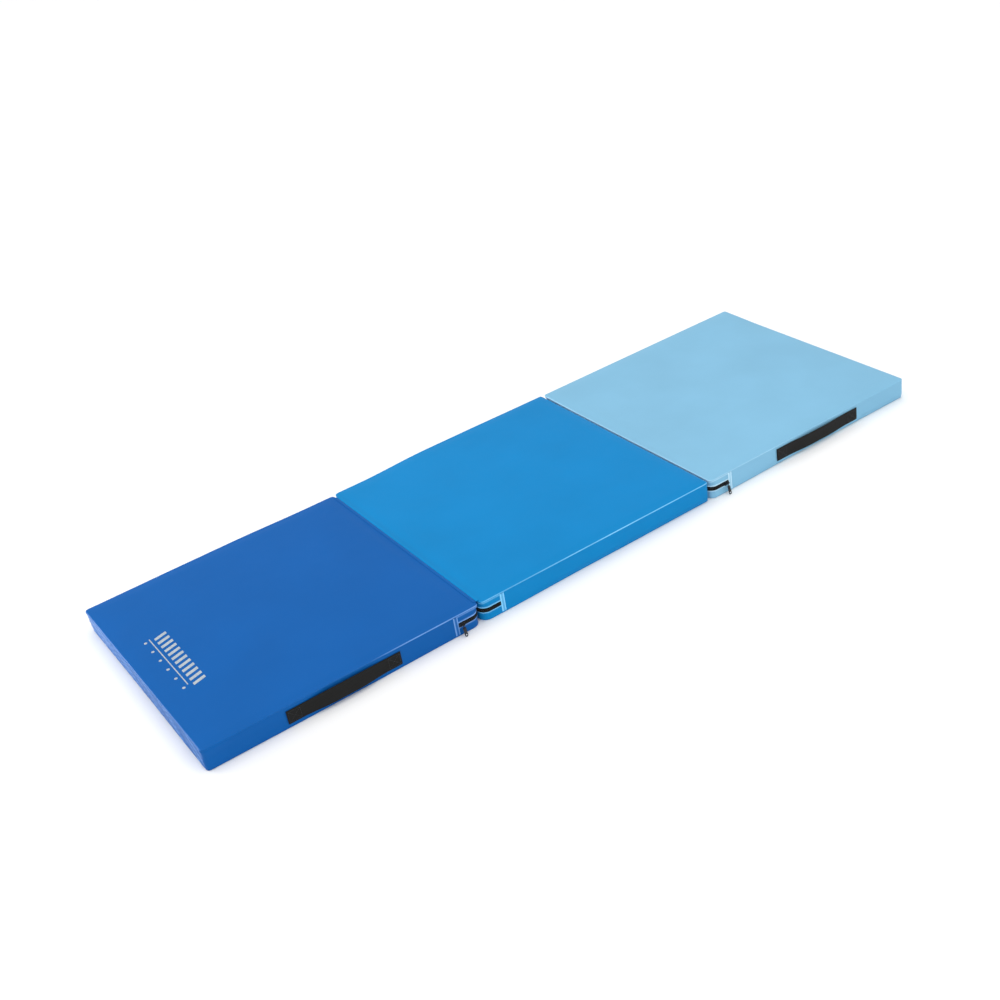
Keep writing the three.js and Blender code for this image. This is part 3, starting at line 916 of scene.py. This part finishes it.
TAPE_CLOTH = woven_material("black_polyester_zip_tape", "#060607", "#1A1B1D", 0.7, 0.8)
NYLON = nylon_material()
tooth = coil_tooth()
for panel, facts in PANELS.items():
    front_end, back_end = zip_end(panel, -1), zip_end(panel, 1)
    for half, direction in (("upper", 1), ("lower", -1)):
        edge = ZIP_Z + direction * PARTING / 2
        rows = edge + direction * np.linspace(0, TAPE_HEIGHT, 6)
        if direction < 0:
            rows = rows[::-1]
        s_front = wall_at(front_end - TAPE_IN_TAB, -1)
        s_back = wall_at(back_end - TAPE_IN_TAB, 1)
        places = np.linspace(s_front, s_back, round((s_back - s_front) / (WALL_CELL / 1.6)) + 1)
        tape, u, v = unit_grid(f"{panel}_{half}_zip_tape", len(places) - 1, len(rows) - 1)
        s, z = s_front + u * (s_back - s_front), rows[0] + v * (rows[-1] - rows[0])
        x, y, nx, ny = wall(s, np.full(len(s), TAPE_W))
        put(tape, to_frame(panel, np.column_stack([x, y, z])))
        map_uv(tape, s / MM, z / MM)
        thicken(tape, 0.5 * MM)
        give(tape, TAPE_CLOTH)
        fasten(tape, facts["body"], "zip_tape", f"{panel}_zip_tape_{half}")

        first, last = wall_at(front_end, -1) + MM, wall_at(back_end, 1) - MM
        stations = np.arange(first, last, TOOTH_PITCH) + (TOOTH_PITCH / 2 if direction > 0 else 0)
        middle = ZIP_Z + direction * (PARTING / 2 + 0.3 * TOOTH_REACH)

        def bend(points, station, middle=middle, direction=direction, panel=panel):
            x, y, _, _ = wall(station + points[:, 0], points[:, 1] * 0.5)
            return to_frame(panel, np.column_stack([x, y, middle + direction * points[:, 2]]))

        coil = repeat(f"{panel}_{half}_zip_coil", tooth, stations, bend)
        give(coil, NYLON)
        fasten(coil, facts["body"], "zip_coil", f"{panel}_zip_coil_{half}")
bpy.data.objects.remove(tooth)


# ---------------------------------------------------------------------------------------------
# Sliders and pulls. Die-cast zinc, plated dark and tumbled, so that every edge is slightly round.
# Each slider carries a flat ring round its bridge, and the pull tab hangs on the ring.
EDGE_ROUND = 0.22 * MM


def plated_material():
    """Zinc die-casting in black nickel plate: dark, bright and a little worn, with faint ripples"""
    material, shader = new_material("black_nickel_plated_zinc")
    where = add_node(material, "ShaderNodeTexCoord")
    mottle = add_node(
        material, "ShaderNodeTexNoise",
        [("Vector", where.outputs["Object"]), ("Scale", 1 / (3 * MM)), ("Detail", 4)],
    )
    tone = add_node(material, "ShaderNodeValToRGB", [("Fac", mottle.outputs["Fac"])])
    tone.color_ramp.elements[0].position = 0.35
    tone.color_ramp.elements[0].color = to_linear("#2A2B2E")
    tone.color_ramp.elements[1].position = 0.8
    tone.color_ramp.elements[1].color = to_linear("#54565A")
    ripple = add_node(
        material, "ShaderNodeBump",
        [("Height", mottle.outputs["Fac"]), ("Strength", 0.15), ("Distance", 0.1 * MM)],
    )
    material.node_tree.links.new(tone.outputs["Color"], shader.inputs["Base Color"])
    material.node_tree.links.new(ripple.outputs["Normal"], shader.inputs["Normal"])
    shader.inputs["Metallic"].default_value = 1
    shader.inputs["Roughness"].default_value = 0.3
    return material


PLATED = plated_material()


def cast_copy(node, name):
    """A copy of a CAD node with its flat faces joined up and its edges rounded, as tumbling does"""
    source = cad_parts[node]
    piece = bpy.data.objects.new(name, source.data.copy())
    bpy.context.scene.collection.objects.link(piece)
    bpy.ops.object.select_all(action="DESELECT")
    bpy.context.view_layer.objects.active = piece
    piece.select_set(True)
    bpy.ops.object.mode_set(mode="EDIT")
    bpy.ops.mesh.select_all(action="SELECT")
    bpy.ops.mesh.remove_doubles(threshold=0.002 * MM)
    bpy.ops.mesh.dissolve_limited(angle_limit=radians(3))
    bpy.ops.object.mode_set(mode="OBJECT")
    bevel = piece.modifiers.new("tumbled_edges", "BEVEL")
    bevel.width = EDGE_ROUND
    bevel.segments = 2
    bevel.limit_method = "ANGLE"
    bevel.angle_limit = radians(35)
    bevel.harden_normals = False
    apply_all(piece)
    smooth(piece, 35)
    give(piece, PLATED)
    return piece


for panel in PANELS:
    for part, node in (("slider", "zip_slider"), ("link", "pull_link"), ("tab", "pull_tab")):
        piece = cast_copy(f"{panel}_{node}", f"{panel}_cast_{part}")
        fasten(piece, f"{panel}_{part}", "zip_metal", f"{panel}_{node}")


# ---------------------------------------------------------------------------------------------
# Carry handles. 30 mm polypropylene webbing, sewn to the front wall at both ends with a box and a
# cross, and slack between them, so that it stands off the wall and leans over a little.
WEB_THICK = 1.5 * MM
WEB_END = 30 * MM
WEB_SELVEDGE = 1.2 * MM
# How far the slack part stands out at its lower and upper edges, and how far it is lifted
WEB_SLACK = {"left": (9 * MM, 3.5 * MM, 3 * MM), "right": (4 * MM, 3 * MM, 0)}


def webbing_at(panel, u, v):
    """Outer face of a handle. u runs along it from its middle, in metres, and v up it from 0 to 1.
    Gives the point's distance from the wall and its height."""
    lo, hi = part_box(f"{panel}_handle")
    free = (hi.x - lo.x) / 2 - WEB_END
    low, high, lift = WEB_SLACK[panel]
    bow = ease((free - np.abs(u)) / (free * 0.75))
    out = 0.4 * MM + WEB_THICK + (low + (high - low) * v) * bow
    return out, lo.z + v * (hi.z - lo.z) + lift * bow


WEBBING = woven_material("black_polypropylene_webbing", "#050505", "#151616", 1.9, 0.7)
for panel in ("left", "right"):
    lo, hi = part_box(f"{panel}_handle")
    middle, half = (lo.x + hi.x) / 2, (hi.x - lo.x) / 2
    strap, u, v = unit_grid(f"{panel}_webbing_handle", 110, 12)
    along = (u - 0.5) * 2 * half
    out, height = webbing_at(panel, along, v)
    from_edge = np.minimum(v, 1 - v) * (hi.z - lo.z)
    thin = 0.5 * MM * np.exp(-from_edge / WEB_SELVEDGE)
    tuck = 0.5 * MM * np.exp(-(half - np.abs(along)) / (1.5 * MM))
    put(strap, np.column_stack([middle + along, -HALF - out + thin + tuck, height]))
    map_uv(strap, along / MM, v * (hi.z - lo.z) / MM)
    thicken(strap, WEB_THICK * 0.8)
    give(strap, WEBBING)
    smooth(strap, 50)
    fasten(strap, f"{panel}_panel", "webbing", f"{panel}_handle")
    cut = 2 * half + 10 * MM, hi.z - lo.z


# ---------------------------------------------------------------------------------------------
# Stitching. Bonded polyester thread in each panel's colour along the zip's flaps, and black thread in
# the boxes and crosses that hold the handles.
STITCH = 2.8 * MM
STITCH_PITCH = 4 * MM
THREAD_R = 0.32 * MM
FLAP_STITCH = 3.2 * MM  # from the flap's lip
BOX_INSET = 3.5 * MM


def thread_material(name, colour, shade):
    """Bonded three-ply thread: the plies' twist shows as fine slanted bands, 1 mm long"""
    material, shader = new_material(name)
    where = add_node(material, "ShaderNodeTexCoord")
    twist = add_node(
        material, "ShaderNodeTexWave", [("Vector", where.outputs["Object"]), ("Scale", 1 / (6 * MM))],
        wave_type="BANDS", bands_direction="DIAGONAL",
    )
    tone = add_node(material, "ShaderNodeValToRGB", [("Fac", twist.outputs["Fac"])])
    tone.color_ramp.elements[0].color = to_linear(shade)
    tone.color_ramp.elements[1].color = to_linear(colour)
    material.node_tree.links.new(tone.outputs["Color"], shader.inputs["Base Color"])
    shader.inputs["Roughness"].default_value = 0.55
    return material


def stitch():
    """One stitch, lying along X: a capsule whose ends go down into the cloth"""
    bpy.ops.object.select_all(action="DESELECT")
    bpy.ops.mesh.primitive_uv_sphere_add(segments=6, ring_count=5, radius=THREAD_R)
    one = bpy.context.object
    one.rotation_euler = (0, pi / 2, 0)
    one.scale = (1, 1, STITCH / 2 / THREAD_R)
    bpy.ops.object.transform_apply()
    return one


THREADS = {
    "left": thread_material("polyester_thread_dark_blue", "#3F7DCB", "#16509A"),
    "middle": thread_material("polyester_thread_mid_blue", "#4FB0EE", "#1878B8"),
    "right": thread_material("polyester_thread_light_blue", "#B4DCF2", "#74A9C8"),
    "handle": thread_material("polyester_thread_black", "#36393D", "#0A0A0B"),
}
one_stitch = stitch()
for panel, facts in PANELS.items():
    s_front = wall_at(zip_end(panel, -1), -1) + 2 * MM
    s_back = wall_at(zip_end(panel, 1), 1) - 2 * MM
    stations = [
        (s, ZIP_Z + direction * (OPENING / 2 + FLAP_STITCH))
        for direction in (1, -1) for s in np.arange(s_front, s_back, STITCH_PITCH)
    ]

    def lay(points, station, panel=panel):
        s, z = station
        along = s + points[:, 0]
        out = seam_dip(np.full(len(along), z)) + 0.15 * MM
        x, y, nx, ny = wall(along, out, z + points[:, 2])
        level = np.full(len(x), z)
        swell = ZIP_WALL_CROWN * np.clip(fullness(np.column_stack([x, y, level])), -0.2, 1)
        sink = points[:, 1] - 0.25 * MM
        co = np.column_stack([x + nx * (swell - sink), y + ny * (swell - sink), z + points[:, 2]])
        return to_frame(panel, settle(panel, co))

    seam = repeat(f"{panel}_flap_stitches", one_stitch, stations, lay)
    give(seam, THREADS[panel])
    fasten(seam, facts["body"], None)

for panel in ("left", "right"):
    lo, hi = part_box(f"{panel}_handle")
    middle, half, width = (lo.x + hi.x) / 2, (hi.x - lo.x) / 2, hi.z - lo.z
    stations = []
    for end in (-1, 1):
        first, last = sorted((end * (half - BOX_INSET), end * (half - WEB_END + 1.5 * MM)))
        foot, head = BOX_INSET, width - BOX_INSET
        corners = [(first, foot), (last, foot), (last, head), (first, head)]
        box_sides = list(zip(corners, corners[1:] + corners[:1]))
        lines = box_sides + [(corners[0], corners[2]), (corners[1], corners[3])]
        for (x0, z0), (x1, z1) in lines:
            length = np.hypot(x1 - x0, z1 - z0)
            count = round(length / (STITCH_PITCH * 0.9))
            for k in range(count):
                share = (k + 0.5) / count
                turn = np.arctan2(z1 - z0, x1 - x0)
                stations.append((x0 + (x1 - x0) * share, z0 + (z1 - z0) * share, turn))

    def sew(points, station, panel=panel, middle=middle, width=width):
        u, height, turn = station
        u = u + points[:, 0] * cos(turn) - points[:, 2] * sin(turn)
        v = (height + points[:, 0] * sin(turn) + points[:, 2] * cos(turn)) / width
        out, z = webbing_at(panel, u, v)
        return np.column_stack([middle + u, -HALF - out + points[:, 1] + 0.1 * MM, z])

    box = repeat(f"{panel}_handle_stitches", one_stitch, stations, sew)
    give(box, THREADS["handle"])
    fasten(box, f"{panel}_panel", None)
bpy.data.objects.remove(one_stitch)


# ---------------------------------------------------------------------------------------------
# Print. A pale grey screen print near the dark blue panel's far end: a row of slanted bars beside a
# thin rule, and a row of small dots on the rule's other side.
INK = 0.15 * MM
LAID_FROM = THICK + 5 * MM  # the shapes are made flat above the sheet, and then laid down on it
BARS_X, BARS_Y = -0.825, (-0.104, 0.090)
BAR_WIDTH, BAR_HEIGHT, BAR_SLANT = 8.5 * MM, 28 * MM, 8 * MM
BAR_COUNT = 12
RULE_X, RULE_Y, RULE_WIDTH = -0.8475, (-0.101, 0.096), 2.2 * MM
DOTS_X, DOTS_Y, DOT_R = -0.858, (-0.105, 0.089), 3.4 * MM
DOT_COUNT = 6


def ink_material():
    """Screen-printing ink on vinyl: pale grey, a little thin in places, with a dull gloss"""
    material, shader = new_material("pale_grey_screen_print")
    where = add_node(material, "ShaderNodeTexCoord")
    thin = add_node(
        material, "ShaderNodeTexNoise",
        [("Vector", where.outputs["Object"]), ("Scale", 1 / (4 * MM)), ("Detail", 3)],
    )
    tone = add_node(material, "ShaderNodeValToRGB", [("Fac", thin.outputs["Fac"])])
    tone.color_ramp.elements[0].position = 0.3
    tone.color_ramp.elements[0].color = to_linear("#9AA7B4")
    tone.color_ramp.elements[1].position = 0.6
    tone.color_ramp.elements[1].color = to_linear("#B4BABD")
    material.node_tree.links.new(tone.outputs["Color"], shader.inputs["Base Color"])
    shader.inputs["Roughness"].default_value = 0.5
    return material


def bar(x, y, height, width, slant, cells):
    """A flat bar above the panel, its middle at (x, y), leaning along Y by its slant"""
    piece, u, v = unit_grid("bar", *cells)
    across, along = (u - 0.5) * height, (v - 0.5) * width + (u - 0.5) * slant
    put(piece, np.column_stack([x + across, y + along, np.full(len(u), LAID_FROM)]))
    return piece


bar_pitch = (BARS_Y[1] - BARS_Y[0]) / (BAR_COUNT - 1)
inked = [
    bar(BARS_X, BARS_Y[0] + bar_pitch * k, BAR_HEIGHT, BAR_WIDTH, BAR_SLANT, (6, 2))
    for k in range(BAR_COUNT)
]
rule_length = RULE_Y[1] - RULE_Y[0]
inked.append(bar(RULE_X, sum(RULE_Y) / 2, RULE_WIDTH, rule_length, 0, (1, 40)))
for k in range(DOT_COUNT):
    bpy.ops.object.select_all(action="DESELECT")
    bpy.ops.mesh.primitive_circle_add(vertices=16, radius=DOT_R, fill_type="NGON")
    dot = bpy.context.object
    y = DOTS_Y[0] + (DOTS_Y[1] - DOTS_Y[0]) * k / (DOT_COUNT - 1)
    put(dot, coordinates(dot) + [DOTS_X, y, LAID_FROM])
    inked.append(dot)
bpy.ops.object.select_all(action="DESELECT")
for piece in inked:
    piece.select_set(True)
bpy.context.view_layer.objects.active = inked[0]
bpy.ops.object.join()
ink = inked[0]
ink.name = "left_panel_print"
fit = ink.modifiers.new("on_the_vinyl", "SHRINKWRAP")
fit.wrap_method = "PROJECT"
fit.use_project_z = True
fit.use_negative_direction = True
fit.use_positive_direction = False
fit.target = bpy.data.objects["left_top_cover"]
film = ink.modifiers.new("film", "SOLIDIFY")
film.thickness = INK
film.offset = 0.4
apply_all(ink)
give(ink, ink_material())
fasten(ink, "left_panel", None)


# ---------------------------------------------------------------------------------------------
# Hinges. A strip of vinyl sewn to both covers: over the gap at the top between the dark and mid
# blue panels, and under the gap at the bottom between the mid and light blue ones.
HINGE_DIP = 1.3 * MM  # into the gap
HINGE_VINYL = 0.6 * MM
GAP = PITCH - 2 * HALF
TOP_WEB, BOTTOM_WEB = HALF - TOP_R - 3 * MM, HALF - ZIP_R  # half of each one's length


def hinge_web(name, x, reach, half_length, height, panels, node):
    """A strip along the gap at x, with the left panel's colour on its left half. height(d) is the
    height of its upper face at a distance d from the middle of the gap."""
    web, u, v = unit_grid(name, 24, 80)
    across = (u - 0.5) * 2 * reach
    along = (v - 0.5) * 2 * half_length
    put(web, np.column_stack([x + across, along, height(np.abs(across))]))
    thicken(web, HINGE_VINYL)
    give(web, VINYLS[panels[0]], VINYLS[panels[1]])
    for face in web.data.polygons:
        face.material_index = int(face.center.x > x)
    smooth(web, 60)
    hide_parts(node)
    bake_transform(web)


def over_the_gap(d):
    """Flush with the top sheets, with a slight valley"""
    return TOP_Z + 0.75 * MM - HINGE_DIP * np.exp(-((d / (1.5 * MM)) ** 2))


def under_the_gap(d):
    """Between the two lower seams, sagging to the floor"""
    return HINGE_VINYL + 2.7 * MM * ease(d / (3.2 * MM))


hinge_web(
    "top_hinge_web", -PITCH / 2, GAP / 2 + 5 * MM, TOP_WEB, over_the_gap,
    ("left", "middle"), "hinge_strip_top",
)
hinge_web(
    "bottom_hinge_web", PITCH / 2, GAP / 2 + 1.2 * MM, BOTTOM_WEB, under_the_gap,
    ("middle", "right"), "hinge_strip_bottom",
)
